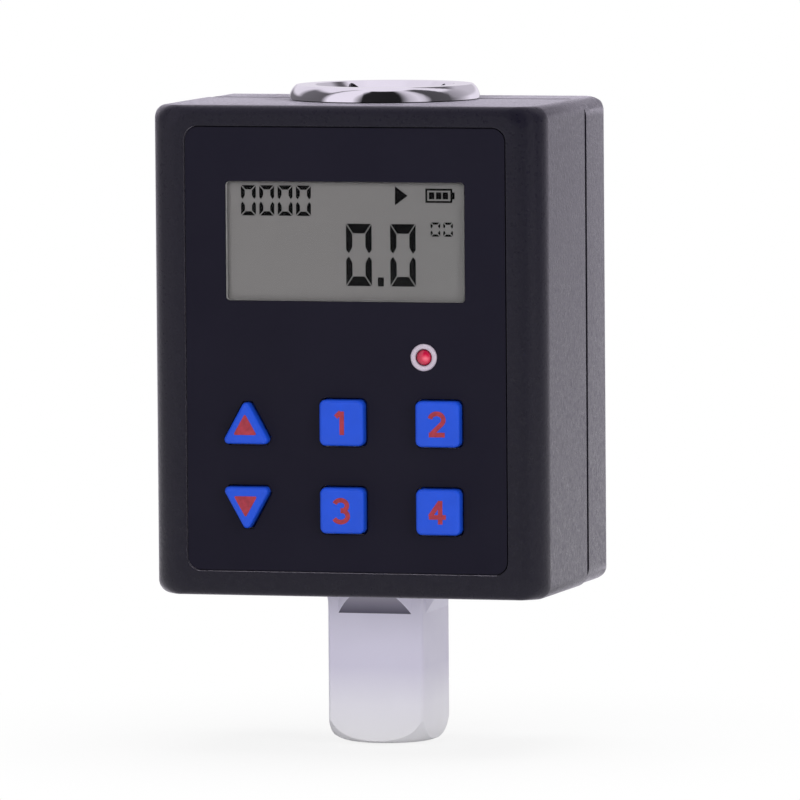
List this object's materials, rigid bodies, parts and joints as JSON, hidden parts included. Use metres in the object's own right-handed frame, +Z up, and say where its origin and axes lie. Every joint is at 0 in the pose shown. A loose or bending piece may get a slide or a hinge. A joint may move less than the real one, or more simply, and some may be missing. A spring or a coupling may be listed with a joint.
{
  "type": "digital torque adapter",
  "caption": "Torque meter between a wrench and a socket: a square socket in a round flange on top, a drive square below, and a case with a display and keys.",
  "frame": {"origin": "centre of the drive square's end face, on the shaft axis", "axes": "+Z up the shaft axis towards the wrench socket, front panel faces -Y, +X to the right seen from the front"},
  "size_m": [0.078, 0.0498, 0.1269],
  "materials": {
    "torque_shaft": "polished chrome flange, satin drive square",
    "detent_spring": "drawn wire",
    "strain_gauges": "foil on amber film",
    "gauge_leads": "insulated wire",
    "front_shell": "fine textured moulding",
    "rear_shell": "fine textured moulding",
    "shell_gasket": "matte",
    "flange_gasket": "matte",
    "neck_seal": "matte",
    "case_screws": "black oxide",
    "front_panel": "smooth satin film",
    "display_window": "clear",
    "lcd_glass": "grey reflective display",
    "lcd_backlight": "white diffuser",
    "lcd_contact_strips": "striped elastomer",
    "led_ring": "pale moulded ring",
    "status_led": "red clear lens",
    "main_board": "solder mask",
    "board_screws": "zinc plated",
    "board_chips": "moulded epoxy",
    "radio_module": "solder mask with steel can",
    "buzzer": "moulded",
    "key_switches": "moulded",
    "battery_cells": "printed sleeve",
    "battery_contacts": "nickel plated",
    "battery_springs": "nickel plated wire",
    "battery_leads": "insulated wire",
    "detent_ball": "polished",
    "key_up": "blue moulding with a red mark",
    "key_down": "blue moulding with a red mark",
    "key_track": "blue moulding with a red mark",
    "key_memory": "blue moulding with a red mark",
    "key_unit": "blue moulding with a red mark",
    "key_clear": "blue moulding with a red mark",
    "battery_door": "fine textured moulding",
    "door_screws": "black oxide"
  },
  "bodies": {
    "adapter": {"torque_shaft": "torque_shaft", "detent_spring": "detent_spring", "strain_gauges": "strain_gauges", "gauge_leads": "gauge_leads", "front_shell": "front_shell", "rear_shell": "rear_shell", "shell_gasket": "shell_gasket", "flange_gasket": "flange_gasket", "neck_seal": "neck_seal", "case_screws": "case_screws", "front_panel": "front_panel", "display_window": "display_window", "lcd_glass": "lcd_glass", "lcd_backlight": "lcd_backlight", "lcd_contact_strips": "lcd_contact_strips", "led_ring": "led_ring", "status_led": "status_led", "main_board": "main_board", "board_screws": "board_screws", "board_chips": "board_chips", "radio_module": "radio_module", "buzzer": "buzzer", "key_switches": "key_switches", "battery_cells": "battery_cells", "battery_contacts": "battery_contacts", "battery_springs": "battery_springs", "battery_leads": "battery_leads"},
    "ball": {"detent_ball": "detent_ball"},
    "key_up_cap": {"key_up": "key_up"},
    "key_down_cap": {"key_down": "key_down"},
    "key_track_cap": {"key_track": "key_track"},
    "key_memory_cap": {"key_memory": "key_memory"},
    "key_unit_cap": {"key_unit": "key_unit"},
    "key_clear_cap": {"key_clear": "key_clear"},
    "door": {"battery_door": "battery_door", "door_screws": "door_screws"}
  },
  "joints": [
    {"name": "key_up_press", "type": "slide", "parent": "adapter", "child": "key_up_cap", "axis": [0, 1, 0], "range_m": [0, 0.0008], "stiffness_N_per_m": 1500},
    {"name": "key_down_press", "type": "slide", "parent": "adapter", "child": "key_down_cap", "axis": [0, 1, 0], "range_m": [0, 0.0008], "stiffness_N_per_m": 1500},
    {"name": "key_track_press", "type": "slide", "parent": "adapter", "child": "key_track_cap", "axis": [0, 1, 0], "range_m": [0, 0.0008], "stiffness_N_per_m": 1500},
    {"name": "key_memory_press", "type": "slide", "parent": "adapter", "child": "key_memory_cap", "axis": [0, 1, 0], "range_m": [0, 0.0008], "stiffness_N_per_m": 1500},
    {"name": "key_unit_press", "type": "slide", "parent": "adapter", "child": "key_unit_cap", "axis": [0, 1, 0], "range_m": [0, 0.0008], "stiffness_N_per_m": 1500},
    {"name": "key_clear_press", "type": "slide", "parent": "adapter", "child": "key_clear_cap", "axis": [0, 1, 0], "range_m": [0, 0.0008], "stiffness_N_per_m": 1500},
    {"name": "ball_press", "type": "slide", "parent": "adapter", "child": "ball", "axis": [0, -1, 0], "range_m": [0, 0.0012], "stiffness_N_per_m": 2500},
    {"name": "door_lift", "type": "slide", "parent": "adapter", "child": "door", "axis": [0, 1, 0], "range_m": [0, 0.02]}
  ]
}
